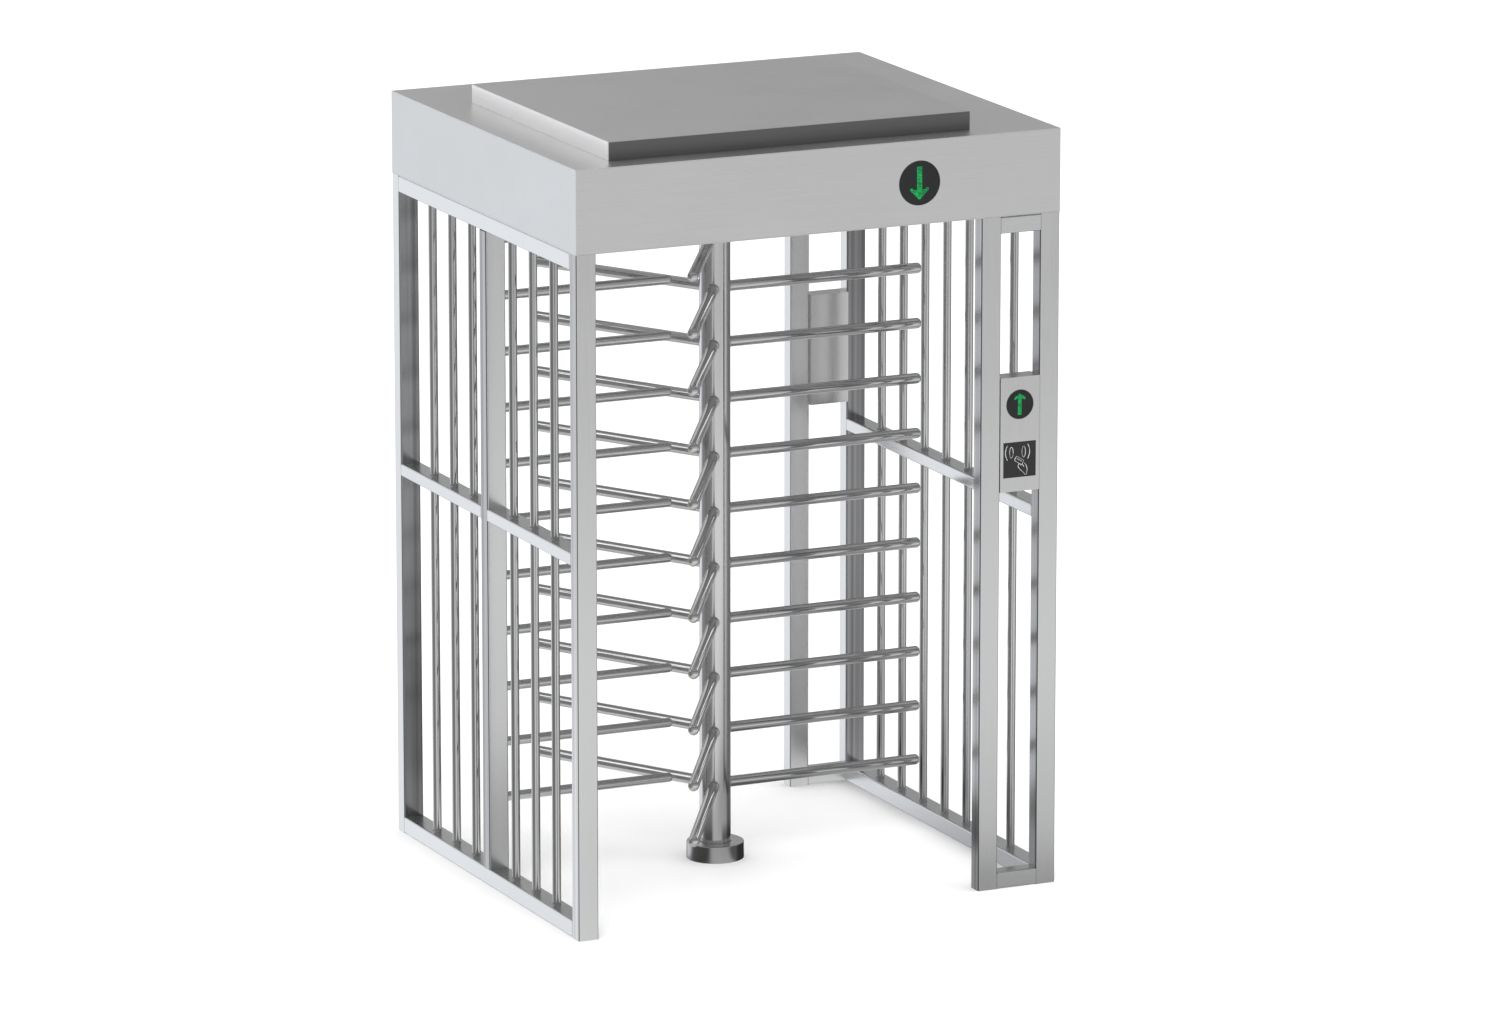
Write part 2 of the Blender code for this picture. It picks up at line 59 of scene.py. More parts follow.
SHARP_ANGLE = 35
SQUARELY = 0.7

# Rotor
AXIS_X = -0.025
WING_ANGLES = {"wing_right": 0, "wing_rear": 120, "wing_front": 240}
ARM_LEVELS = 11
ARM_PITCH = 0.1662
ARM_RADIUS = 0.016
COMB_RADIUS = 0.014
COMB_RISE = 0.035
ARM_SINK = 0.92
DOME_HEIGHT = 0.62
DOME_STEPS = 8

# Weld beads
BEAD_RADIUS = 0.0018
BEAD_LIFT = 0.3 * BEAD_RADIUS
BEAD_SIDES = 8
BEAD_UNEVENNESS = 0.22
BEAD_RIPPLES = 260
SADDLE_POINTS = 40

# Displays
LENS_SIDES = 64
LAMP_SIDES = 10
LAMP_FILL = 0.42
LAMP_RISE = 0.0002
# Share of the lamp's radius and height
LAMP_PROFILE = ((1, 0), (1, 0.0006), (0.7, 0.0009), (0, 0.00095))
LARGE_PITCH = 0.00415
SMALL_PITCH = 0.0030

# Studio
GROUND_SIZE = 120.0
SHADE_DEPTH = 0.001
CAMERA_AZIMUTH = -24.603
CAMERA_ELEVATION = 13.018
CAMERA_DISTANCE = 26.143
CAMERA_LENS = 214.14
CAMERA_SENSOR = 36.0
VIEW_DEPTH = 500.0
LOOK_AT = (0, 0, 1.15)
AIM_RIGHT = 0.0802
AIM_DOWN = 0.0992
FILL_STRENGTH = 1.3
# Name, place, size and power of each soft light
SOFT_LIGHTS = (
    ("key_light", (-4.0, -5.5, 6.5), 5.0, 260),
    ("fill_light", (5.5, -3.0, 4.5), 5.0, 120),
)


# ---------------------------------------------------------------- materials


# Most of a noise pattern lies between these values
NOISE_LOW = 0.3
NOISE_HIGH = 0.7


class Graph:
    """A short way to write a node tree."""

    def __init__(self, tree):
        self.tree = tree

    def add(self, kind, inputs=None, **settings):
        node = self.tree.nodes.new(kind)
        for key, value in settings.items():
            setattr(node, key, value)
        for key, value in (inputs or {}).items():
            if isinstance(value, bpy.types.NodeSocket):
                self.tree.links.new(value, node.inputs[key])
            else:
                node.inputs[key].default_value = value
        return node

    def maths(self, operation, first, second=0.0):
        return self.add("ShaderNodeMath", {0: first, 1: second}, operation=operation).outputs[0]

    def times(self, first, second):
        return self.maths("MULTIPLY", first, second)

    def spread(self, value, low, high, to_low, to_high, smooth=False):
        kind = "SMOOTHSTEP" if smooth else "LINEAR"
        places = {"Value": value, "From Min": low, "From Max": high, "To Min": to_low, "To Max": to_high}
        return self.add("ShaderNodeMapRange", places, interpolation_type=kind).outputs[0]

    def vary(self, pattern, to_low, to_high):
        """The usual range of a noise pattern, stretched to lie between two values."""
        return self.spread(pattern, NOISE_LOW, NOISE_HIGH, to_low, to_high)

    def noise(self, vector, scale, detail=2.0, roughness=0.5):
        places = {"Vector": vector, "Scale": scale, "Detail": detail, "Roughness": roughness}
        return self.add("ShaderNodeTexNoise", places).outputs["Fac"]

    def stretched(self, vector, scale):
        return self.add("ShaderNodeMapping", {"Vector": vector, "Scale": scale}).outputs[0]

    def tint(self, colour, factor):
        """The colour times a factor."""
        node = self.add("ShaderNodeMix", data_type="RGBA", blend_type="MULTIPLY")
        node.inputs["Factor"].default_value = 1.0
        node.inputs["A"].default_value = (*colour, 1.0)
        self.tree.links.new(factor, node.inputs["B"])
        return node.outputs["Result"]


def new_material(name):
    made = bpy.data.materials.new(name)
    made.use_nodes = True
    return made, Graph(made.node_tree), made.node_tree.nodes["Principled BSDF"]


# Noise scales: the brushed grain and the broad streaks by the axis that they run along, then the rest
GRAIN = {"X": (6, 420, 420), "Y": (420, 6, 420), "Z": (420, 420, 6)}
STREAK = {"X": (0.2, 60, 60), "Y": (60, 0.2, 60), "Z": (60, 60, 0.2)}
SCUFF = (35, 35, 35)
SMEAR = 3.1
CLOUD = 0.9


def steel(name, colour, roughness, grain, depth=0.06, streaks=0.0, painted_light_height=0.0, painted_light_tone=1.0):
    """Brushed stainless steel whose grain runs along one axis, with smears and scuffs.

    Below a given height its tone passes into another tone at the floor: painted shade where that tone is
    darker, painted light where it is lighter.
    """
    made, graph, shader = new_material(name)
    place = graph.add("ShaderNodeTexCoord").outputs["Object"]
    lines = graph.noise(graph.stretched(place, GRAIN[grain]), 1.0, 3.0, 0.65)
    smears = graph.noise(place, SMEAR, 4.0, 0.6)
    cloud = graph.noise(place, CLOUD, 1.0)
    scuffs = graph.noise(graph.stretched(place, SCUFF), 1.0, 6.0, 0.75)

    tone = graph.vary(lines, 0.975, 1.025)
    tone = graph.times(tone, graph.vary(smears, 0.985, 1.015))
    if streaks:
        bands = graph.noise(graph.stretched(place, STREAK[grain]), 1.0, 1.0)
        tone = graph.times(tone, graph.spread(bands, 0.38, 0.62, 1 - streaks, 1 + streaks))
    tone = graph.times(tone, graph.spread(cloud, 0.35, 0.65, 0.985, 1.015))
    # Painted light and shade: the tone grows darker or lighter towards the floor, by height alone.
    if painted_light_height:
        height = graph.add("ShaderNodeSeparateXYZ", {"Vector": place}).outputs["Z"]
        tone = graph.times(tone, graph.spread(height, 0.0, painted_light_height, painted_light_tone, 1.0, smooth=True))
    graph.tree.links.new(graph.tint(colour, tone), shader.inputs["Base Color"])

    rough = graph.vary(lines, roughness - 0.03, roughness + 0.03)
    rough = graph.maths("ADD", rough, graph.spread(smears, 0.35, 0.65, -0.015, 0.03))
    rough = graph.maths("ADD", rough, graph.spread(scuffs, 0.55, 0.75, 0.0, 0.02))
    graph.tree.links.new(rough, shader.inputs["Roughness"])
    shader.inputs["Metallic"].default_value = 1.0
    bump = graph.add("ShaderNodeBump", {"Height": lines, "Strength": depth, "Distance": 0.0004})
    graph.tree.links.new(bump.outputs[0], shader.inputs["Normal"])
    return made


def weld_steel():
    """The ripples of a weld bead, brushed back to steel, with a faint straw tint from the heat."""
    made, graph, shader = new_material("weld_steel")
    place = graph.add("ShaderNodeTexCoord").outputs["Object"]
    ripples = graph.noise(place, 380, 3.0, 0.6)
    tone = graph.vary(ripples, 0.85, 1.1)
    graph.tree.links.new(graph.tint(WELD_COLOUR, tone), shader.inputs["Base Color"])
    graph.tree.links.new(graph.vary(ripples, 0.24, 0.40), shader.inputs["Roughness"])
    shader.inputs["Metallic"].default_value = 1.0
    bump = graph.add("ShaderNodeBump", {"Height": ripples, "Strength": 0.25, "Distance": 0.0006})
    graph.tree.links.new(bump.outputs[0], shader.inputs["Normal"])
    return made


def smoked_lens(name, pitch):
    """A smoked lens over a grid of unlit lamps."""
    made, graph, shader = new_material(name)
    place = graph.add("ShaderNodeTexCoord").outputs["Object"]
    axes = graph.add("ShaderNodeSeparateXYZ", {"Vector": place}).outputs
    across = graph.maths("PINGPONG", axes["X"], pitch / 2)
    upward = graph.maths("PINGPONG", axes["Z"], pitch / 2)
    away = graph.maths("ADD", graph.maths("POWER", across, 2.0), graph.maths("POWER", upward, 2.0))
    near = graph.maths("SQRT", away)
    lamp = graph.spread(near, pitch * 0.24, pitch * 0.34, 1.3, 1.0, smooth=True)
    dust = graph.vary(graph.noise(place, 60, 5.0, 0.7), 0.92, 1.08)
    tone = graph.times(lamp, dust)
    graph.tree.links.new(graph.tint(LENS_COLOUR, tone), shader.inputs["Base Color"])
    smudge = graph.spread(graph.noise(place, 22, 4.0, 0.6), 0.35, 0.7, 0.24, 0.36)
    graph.tree.links.new(smudge, shader.inputs["Roughness"])
    shader.inputs["Specular IOR Level"].default_value = 0.15
    return made


def lit_lamp(name, colour):
    """A lit lamp, brighter at some points than at others."""
    made, graph, shader = new_material(name)
    place = graph.add("ShaderNodeTexCoord").outputs["Object"]
    flicker = graph.spread(graph.noise(place, 90, 2.0), 0.35, 0.65, 0.50, 1.15)
    glow = graph.tint(colour, flicker)
    graph.tree.links.new(glow, shader.inputs["Emission Color"])
    shader.inputs["Emission Strength"].default_value = 1.0
    shader.inputs["Base Color"].default_value = (*UNLIT_COLOUR, 1.0)
    shader.inputs["Roughness"].default_value = 0.45
    shader.inputs["Specular IOR Level"].default_value = 0.1
    return made


SPARK = 900.0
SPARK_DEPTH = 0.08


def plastic(name, colour, roughness):
    """Moulded plastic with a fine spark texture."""
    made, graph, shader = new_material(name)
    place = graph.add("ShaderNodeTexCoord").outputs["Object"]
    sparks = graph.noise(place, SPARK, 2.0)
    wipes = graph.noise(place, 14, 4.0, 0.6)
    tone = graph.vary(wipes, 0.93, 1.07)
    graph.tree.links.new(graph.tint(colour, tone), shader.inputs["Base Color"])
    rough = graph.vary(wipes, roughness - 0.04, roughness + 0.05)
    graph.tree.links.new(rough, shader.inputs["Roughness"])
    bump = graph.add("ShaderNodeBump", {"Height": sparks, "Strength": SPARK_DEPTH, "Distance": 0.0002})
    graph.tree.links.new(bump.outputs[0], shader.inputs["Normal"])
    return made


def worn_print():
    """White ink on black plastic, rubbed thin in places."""
    made, graph, shader = new_material("worn_print")
    place = graph.add("ShaderNodeTexCoord").outputs["Object"]
    rubbed = graph.noise(place, 75, 2.0, 0.5)
    tone = graph.spread(rubbed, 0.38, 0.60, 0.45, 1.0)
    graph.tree.links.new(graph.tint(PRINT_COLOUR, tone), shader.inputs["Base Color"])
    graph.tree.links.new(graph.vary(rubbed, 0.5, 0.7), shader.inputs["Roughness"])
    shader.inputs["Specular IOR Level"].default_value = 0.2
    return made


def bronze():
    """Turned bearing bronze."""
    made, graph, shader = new_material("turned_bronze")
    place = graph.add("ShaderNodeTexCoord").outputs["Object"]
    turning = graph.noise(graph.stretched(place, (8, 8, 900)), 1.0, 2.0)
    tone = graph.vary(turning, 0.9, 1.1)
    graph.tree.links.new(graph.tint(BRONZE_COLOUR, tone), shader.inputs["Base Color"])
    graph.tree.links.new(graph.vary(turning, 0.28, 0.40), shader.inputs["Roughness"])
    shader.inputs["Metallic"].default_value = 1.0
    return made


def pale_ground():
    """Plain, pale studio floor."""
    made, graph, shader = new_material("pale_ground")
    place = graph.add("ShaderNodeTexCoord").outputs["Object"]
    tone = graph.vary(graph.noise(place, 0.6, 2.0), 0.985, 1.0)
    graph.tree.links.new(graph.tint(FLOOR_COLOUR, tone), shader.inputs["Base Color"])
    shader.inputs["Roughness"].default_value = 0.9
    shader.inputs["Specular IOR Level"].default_value = 0.0
    return made


POST_COLOUR = (0.585, 0.588, 0.592)
# Painted shade: darker copies of the post steel for the front faces of the two rear posts; the right one
# turns lighter towards the floor as painted light.
LEFT_SHADE_COLOUR = (0.245, 0.247, 0.252)
RIGHT_SHADE_COLOUR = (0.172, 0.173, 0.177)
# Painted shade: darker copies of the post steel for the -X faces of the front posts, the reader column's
# inner post and the comb post; the outer one turns lighter towards the floor as painted light.
OUTER_SIDE_SHADE_COLOUR = (0.372, 0.372, 0.372)
INNER_SIDE_SHADE_COLOUR = (0.315, 0.315, 0.318)
RAIL_COLOUR = (0.61, 0.615, 0.62)
BAR_COLOUR = (0.505, 0.507, 0.513)
ROTOR_COLOUR = (0.56, 0.56, 0.565)
SHEET_COLOUR = (0.625, 0.625, 0.628)
# Painted shade: a darker copy of the canopy's sheet steel for its side panels.
CANOPY_SIDE_SHADE_COLOUR = (0.540, 0.544, 0.548)
# Painted light: lighter copies of the canopy's sheet steel for the top plate and the lid's top.
TOP_PLATE_LIGHT_COLOUR = (0.69, 0.69, 0.692)
LID_TOP_LIGHT_COLOUR = (0.690, 0.690, 0.693)
# Painted light on the lid's sides and painted shade on its front fold.
LID_SIDE_LIGHT_COLOUR = (0.98, 0.98, 0.98)
LID_FRONT_SHADE_COLOUR = (0.140, 0.140, 0.143)
BASE_COLOUR = (0.45, 0.45, 0.455)
# Painted light: a lighter copy of the base ring's steel for its top face.
BASE_TOP_LIGHT_COLOUR = (0.60, 0.60, 0.605)
HOUSING_COLOUR = (0.57, 0.572, 0.578)
MACHINED_COLOUR = (0.50, 0.50, 0.48)
WELD_COLOUR = (0.50, 0.49, 0.47)
BRONZE_COLOUR = (0.55, 0.38, 0.17)
LENS_COLOUR = (0.013, 0.0135, 0.014)
LAMP_COLOUR = (0.006, 0.62, 0.14)
UNLIT_COLOUR = (0.002, 0.02, 0.01)
PRINT_COLOUR = (0.54, 0.55, 0.55)
READER_COLOUR = (0.0075, 0.0075, 0.0079)
BEZEL_COLOUR = (0.016, 0.016, 0.017)
COIL_COLOUR = (0.05, 0.05, 0.06)
CONTROLLER_COLOUR = (0.30, 0.31, 0.32)
FLOOR_COLOUR = (0.93, 0.93, 0.93)

# After its name and colour, a steel takes its roughness, the axis of its grain, the depth of its grain, its
# streaks, and the height and the floor tone of its painted light and shade towards the floor
MATERIALS = {
    "post": steel("post_steel", POST_COLOUR, 0.22, "Z"),
    "left_shade": steel("left_shade_steel", LEFT_SHADE_COLOUR, 0.16, "Z", 0.06, 0.30, 1.3, 0.55),
    "right_shade": steel("right_shade_steel", RIGHT_SHADE_COLOUR, 0.16, "Z", 0.06, 0.30, 1.9, 1.5),
    # Painted shade: the comb post's steel turns darker towards the floor.
    "comb_post": steel("comb_post_steel", POST_COLOUR, 0.22, "Z", painted_light_height=0.55, painted_light_tone=0.62),
    "outer_side_shade": steel("outer_side_shade_steel", OUTER_SIDE_SHADE_COLOUR, 0.18, "Z", 0.06, 0.10, 1.6, 1.45),
    "inner_side_shade": steel("inner_side_shade_steel", INNER_SIDE_SHADE_COLOUR, 0.16, "Z", streaks=0.22),
    "rail_x": steel("rail_steel_x", RAIL_COLOUR, 0.24, "X"),
    "rail_y": steel("rail_steel_y", RAIL_COLOUR, 0.24, "Y"),
    "bar": steel("bar_steel", BAR_COLOUR, 0.06, "Z", depth=0.03, streaks=0.08),
    "column": steel("column_steel", ROTOR_COLOUR, 0.10, "Z", depth=0.03),
    "arm": steel("arm_steel", ROTOR_COLOUR, 0.07, "X", depth=0.025),
    "comb": steel("comb_steel", ROTOR_COLOUR, 0.08, "X", depth=0.025),
    "sheet_x": steel("sheet_steel_x", SHEET_COLOUR, 0.30, "X", depth=0.04),
    "sheet_y_shade": steel("shaded_sheet_steel_y", CANOPY_SIDE_SHADE_COLOUR, 0.30, "Y", depth=0.04),
    "top_plate": steel("top_plate_light_steel", TOP_PLATE_LIGHT_COLOUR, 0.36, "X", depth=0.04),
    "lid_top_light": steel("lid_top_light_steel", LID_TOP_LIGHT_COLOUR, 0.30, "X", depth=0.04),
    "lid_side_light": steel("lid_side_light_steel", LID_SIDE_LIGHT_COLOUR, 0.34, "Y", depth=0.03),
    "lid_front_shade": steel("lid_front_shade_steel", LID_FRONT_SHADE_COLOUR, 0.30, "X"),
    "base": steel("base_steel", BASE_COLOUR, 0.07, "Z", depth=0.02),
    "base_top_light": steel("base_top_light_steel", BASE_TOP_LIGHT_COLOUR, 0.14, "X", depth=0.02),
    "housing": steel("housing_steel", HOUSING_COLOUR, 0.22, "Z"),
    "machined": steel("machined_steel", MACHINED_COLOUR, 0.36, "X"),
    "weld": weld_steel(),
    "bronze": bronze(),
    "large_lens": smoked_lens("large_lens", LARGE_PITCH),
    "small_lens": smoked_lens("small_lens", SMALL_PITCH),
    "green_lamp": lit_lamp("green_lamp", LAMP_COLOUR),
    "reader": plastic("reader_plastic", READER_COLOUR, 0.42),
    "print": worn_print(),
    "bezel": plastic("bezel_plastic", BEZEL_COLOUR, 0.36),
    "coil_case": plastic("coil_case", COIL_COLOUR, 0.50),
    "controller_case": plastic("controller_case", CONTROLLER_COLOUR, 0.55),
}


# ---------------------------------------------------------------- mesh tools


class Piece:
    """Geometry gathered into one object, with a list of the materials that its faces use."""

    def __init__(self, name, *materials):
        self.name = name
        self.materials = materials
        self.bm = bmesh.new()

    def ring(self, points):
        return [self.bm.verts.new(point) for point in points]

    def bridge(self, near, far, material=0):
        """Faces between two closed loops with the same number of points."""
        count = len(near)
        for i in range(count):
            j = (i + 1) % count
            face = self.bm.faces.new((near[i], near[j], far[j], far[i]))
            face.material_index = material

    def cap(self, loop, material=0):
        face = self.bm.faces.new(loop)
        face.material_index = material

    def lathe(self, profile, sides, place=None, material=0):
        """Turns (radius, height) pairs about Z. A radius of 0 closes that end to a point."""
        place = place or Matrix.Identity(4)
        loops = []
        for radius, height in profile:
            if radius == 0:
                loops.append(self.ring([place @ Vector((0, 0, height))]))
                continue
            angles = [2 * pi * i / sides for i in range(sides)]
            points = [Vector((radius * cos(a), radius * sin(a), height)) for a in angles]
            loops.append(self.ring([place @ point for point in points]))
        for near, far in zip(loops, loops[1:]):
            self.join_loops(near, far, material)

    def join_loops(self, near, far, material):
        if len(near) == len(far):
            self.bridge(near, far, material)
            return
        point, loop = (near[0], far) if len(near) == 1 else (far[0], near)
        for i in range(len(loop)):
            face = self.bm.faces.new((loop[i], loop[(i + 1) % len(loop)], point))
            face.material_index = material

    def bead(self, path, radius, material=0):
        """A closed ring of round section that follows a closed path, a little uneven like a weld."""
        count = len(path)
        angles = [2 * pi * j / BEAD_SIDES for j in range(BEAD_SIDES)]
        rings = []
        for i, point in enumerate(path):
            along = (path[(i + 1) % count] - path[i - 1]).normalized()
            side = along.orthogonal().normalized()
            other = along.cross(side)
            size = radius * (1 + BEAD_UNEVENNESS * noise.noise(point * BEAD_RIPPLES))
            rings.append(self.ring([point + size * (side * cos(a) + other * sin(a)) for a in angles]))
        for i in range(count):
            near = rings[i]
            far = self.matched(near, rings[(i + 1) % count])
            self.bridge(near, far, material)

    @staticmethod
    def matched(near, far):
        """The far loop turned so that its first point is the nearest one to the near loop's first point."""
        start = min(range(len(far)), key=lambda i: (far[i].co - near[0].co).length)
        turned = far[start:] + far[:start]
        back = [turned[0]] + turned[:0:-1]
        forward_length = (turned[1].co - near[1].co).length
        return turned if forward_length <= (back[1].co - near[1].co).length else back

    def finish(self, body, slot, *replaced, place=None):
        """Closes the mesh and shows it as a piece of the object."""
        bmesh.ops.recalc_face_normals(self.bm, faces=self.bm.faces)
        mesh = bpy.data.meshes.new(self.name)
        self.bm.to_mesh(mesh)
        self.bm.free()
        for key in self.materials:
            mesh.materials.append(MATERIALS[key])
        mesh.shade_smooth()
        mesh.set_sharp_from_angle(angle=radians(SHARP_ANGLE))
        return show(mesh, self.name, body, slot, *replaced, place=place)


def show(mesh, name, body, slot, *replaced, place=None):
    """Puts a mesh in the scene as a piece that rides on a body and stands for CAD nodes."""
    obj = bpy.data.objects.new(name, mesh)
    bpy.context.scene.collection.objects.link(obj)
    if place is not None:
        obj.matrix_world = place
    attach(obj, body)
    if replaced:
        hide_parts(*replaced)
    even = obj.modifiers.new("even_normals", "WEIGHTED_NORMAL")
    even.keep_sharp = True
    return obj


def circle(centre, axis, radius, count):
    """Points round a circle about an axis."""
    axis = Vector(axis).normalized()
    side = axis.orthogonal().normalized()
    other = axis.cross(side)
    centre = Vector(centre)
    angles = [2 * pi * i / count for i in range(count)]
    return [centre + radius * (side * cos(a) + other * sin(a)) for a in angles]


def rounded_outline(low, high, radius, steps):
    """The corner arcs of a rectangle between two 2D corners, as one closed loop."""
    corners = (
        (high[0] - radius, high[1] - radius, 0),
        (low[0] + radius, high[1] - radius, 90),
        (low[0] + radius, low[1] + radius, 180),
        (high[0] - radius, low[1] + radius, 270),
    )
    loop = []
    for x, y, start in corners:
        for step in range(steps + 1):
            angle = radians(start + 90 * step / steps)
            loop.append((x + radius * cos(angle), y + radius * sin(angle)))
    return loop


def in_space(axis, along, point):
    """A 2D section point put in space, for a section that is swept along axis 0, 1 or 2."""
    others = list(point)
    others.insert(axis, along)
    return Vector(others)


# ---------------------------------------------------------------- tubes of the cage


def box_tube(piece, low, high, axis):
    """A rectangular tube with round corners, open ends and its real wall."""
    sides = [i for i in range(3) if i != axis]
    flat_low = [low[i] for i in sides]
    flat_high = [high[i] for i in sides]
    outer = rounded_outline(flat_low, flat_high, CORNER, CORNER_STEPS)
    inner_low = [value + WALL for value in flat_low]
    inner_high = [value - WALL for value in flat_high]
    inner = rounded_outline(inner_low, inner_high, CORNER - WALL, CORNER_STEPS)
    loops = []
    for section, along in ((outer, low[axis]), (outer, high[axis]), (inner, high[axis]), (inner, low[axis])):
        loops.append(piece.ring([in_space(axis, along, point) for point in section]))
    for i in range(4):
        piece.bridge(loops[i], loops[(i + 1) % 4])
    bmesh.ops.recalc_face_normals(piece.bm, faces=piece.bm.faces)


def tube_for(node, axis, *materials):
    low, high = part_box(node)
    piece = Piece(f"{node}_tube", *materials)
    box_tube(piece, low, high, axis)
    return piece


def mark_faces(piece, outward, material):
    """Gives a second material to the faces that look one way."""
    piece.bm.normal_update()
    for face in piece.bm.faces:
        if face.normal.dot(Vector(outward)) > SQUARELY:
            face.material_index = material


def posts_and_rails():
    tube_for("rear_inner_post", 2, "post").finish("frame", "frame_steel", "rear_inner_post")
    # The -X faces of these posts take a darker copy of the post steel: painted shade.
    sides = (
        ("left_front_post", "outer_side_shade"),
        ("right_front_post", "inner_side_shade"),
        ("front_inner_post", "inner_side_shade"),
    )
    for node, side in sides:
        piece = tube_for(node, 2, "post", side)
        mark_faces(piece, (-1, 0, 0), 1)
        piece.finish("frame", "frame_steel", node)
    # The rear posts' front faces take a darker copy of the post steel: painted shade.
    for node, shade in (("left_rear_post", "left_shade"), ("right_rear_post", "right_shade")):
        piece = tube_for(node, 2, "post", shade)
        mark_faces(piece, (0, -1, 0), 1)
        piece.finish("frame", "frame_steel", node)
    for node in ("left_top_rail", "left_bottom_rail", "right_top_rail", "right_bottom_rail"):
        tube_for(node, 1, "rail_y").finish("frame", "frame_steel", node)
    for node in ("front_top_cross", "front_bottom_cross", "rear_top_cross", "rear_bottom_cross"):
        tube_for(node, 0, "rail_x").finish("frame", "frame_steel", node)
    for node in ("left_mid_rail_front", "left_mid_rail_rear", "right_mid_rail"):
        tube_for(node, 1, "rail_y").finish("frame", "frame_steel", node)


def seam(piece, corner, inward, toward, along):
    """Weld that fills a tube's round edge flush with its face, where another tube is butted to it.

    The corner is the sharp one, inward points into the tube from its face, toward points at the other
    tube, and along is the whole run of the seam.
    """
    corner, inward, toward, along = (Vector(part) for part in (corner, inward, toward, along))
    sunk = 0.0002
    section = [(sunk, GAP), (CORNER, GAP)]
    for step in range(CORNER_STEPS + 1):
        angle = pi / 2 * step / CORNER_STEPS
        section.append((max(CORNER * (1 - sin(angle)), sunk), CORNER * (cos(angle) - 1)))
    near = piece.ring([corner + inward * a + toward * b for a, b in section])
    far = piece.ring([corner + inward * a + toward * b + along for a, b in section])
    piece.bridge(near, far)
    piece.cap(near)
    piece.cap(far)


def rail_seams():
    """The upright seams at the ends of each rail and cross piece, and beside the reader housings."""
    piece = Piece("frame_seams", "weld")
    inset = CORNER * 0.6
    rails = ["left_top_rail", "left_bottom_rail", "right_top_rail", "right_bottom_rail"]
    rails += ["left_mid_rail_front", "left_mid_rail_rear", "right_mid_rail"]
    for node in rails:
        low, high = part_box(node)
        along = (0, 0, high.z - low.z - 2 * inset)
        for x, inward in ((low.x, (1, 0, 0)), (high.x, (-1, 0, 0))):
            seam(piece, (x, low.y - GAP, low.z + inset), inward, (0, 1, 0), along)
            seam(piece, (x, high.y + GAP, low.z + inset), inward, (0, -1, 0), along)
    for node in ("front_top_cross", "front_bottom_cross", "rear_top_cross", "rear_bottom_cross"):
        low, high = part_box(node)
        along = (0, 0, high.z - low.z - 2 * inset)
        for y, inward in ((low.y, (0, 1, 0)), (high.y, (0, -1, 0))):
            seam(piece, (low.x - GAP, y, low.z + inset), inward, (1, 0, 0), along)
            seam(piece, (high.x + GAP, y, low.z + inset), inward, (-1, 0, 0), along)
    for side, face, inward in (("front", 0, 1), ("rear", 1, -1)):
        low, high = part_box(f"{side}_reader_housing")
        along = (0, 0, high.z - low.z)
        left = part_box(f"{side}_inner_post")
        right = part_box(f"right_{side}_post")
        outer = left[face].y
        inner = left[1 - face].y
        for corner, y, into, toward in (
            (right[0].x, outer, inward, -1),
            (right[0].x, inner, -inward, -1),
            (left[1].x, inner, -inward, 1),
        ):
            seam(piece, (corner, y, low.z), (0, into, 0), (toward, 0, 0), along)
    piece.finish("frame", "frame_steel")


def upright_bars():
    """Each bar with the weld beads at its ends and on both sides of the mid rail."""
    mid_low, mid_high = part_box("right_mid_rail")
    for node in [name for name in NODES if "_bar_" in name]:
        low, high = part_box(node)
        centre = (low + high) / 2
        radius = (high.x - low.x) / 2
        piece = Piece(f"{node}_tube", "bar", "weld")
        place = Matrix.Translation((centre.x, centre.y, 0))
        piece.lathe(((0, low.z), (radius, low.z), (radius, high.z), (0, high.z)), BAR_SIDES, place)
        for height in (low.z, mid_low.z, mid_high.z, high.z):
            ring = circle((centre.x, centre.y, height), (0, 0, 1), radius + BEAD_LIFT, BAR_SIDES)
            piece.bead(ring, BEAD_RADIUS, 1)
        piece.finish("frame", "frame_steel", node)


# ---------------------------------------------------------------- rotor and comb


def bar_end(radius, root, tip):
    """The profile of a round bar that ends in a domed plug behind a fine groove."""
    dome = radius * DOME_HEIGHT
    groove = 0.0006
    shoulder = tip - dome
    plug = radius - groove / 2
    profile = [(0, root), (radius, root), (radius, shoulder - 3 * groove)]
    profile += [(radius - groove, shoulder - 2 * groove), (radius - groove, shoulder - groove)]
    profile.append((plug, shoulder))
    for step in range(1, DOME_STEPS):
        angle = pi / 2 * step / DOME_STEPS
        profile.append((plug * cos(angle), shoulder + dome * sin(angle)))
    profile.append((0, tip))
    return profile


def along_x(centre_y, height):
    """A placement that lays a turned piece's Z axis along +X."""
    return Matrix.Translation((0, centre_y, height)) @ Matrix.Rotation(pi / 2, 4, "Y")


def arm_heights():
    low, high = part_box("wing_right")
    middle = (low.z + high.z) / 2
    first = middle - (ARM_LEVELS - 1) / 2 * ARM_PITCH
    return [first + level * ARM_PITCH for level in range(ARM_LEVELS)]


def saddle(arm_radius, column_radius, height):
    """The closed curve where an arm along +X meets the column."""
    path = []
    for i in range(SADDLE_POINTS):
        angle = 2 * pi * i / SADDLE_POINTS
        across = arm_radius * cos(angle)
        path.append(Vector((sqrt(column_radius**2 - across**2), across, height + arm_radius * sin(angle))))
    return path


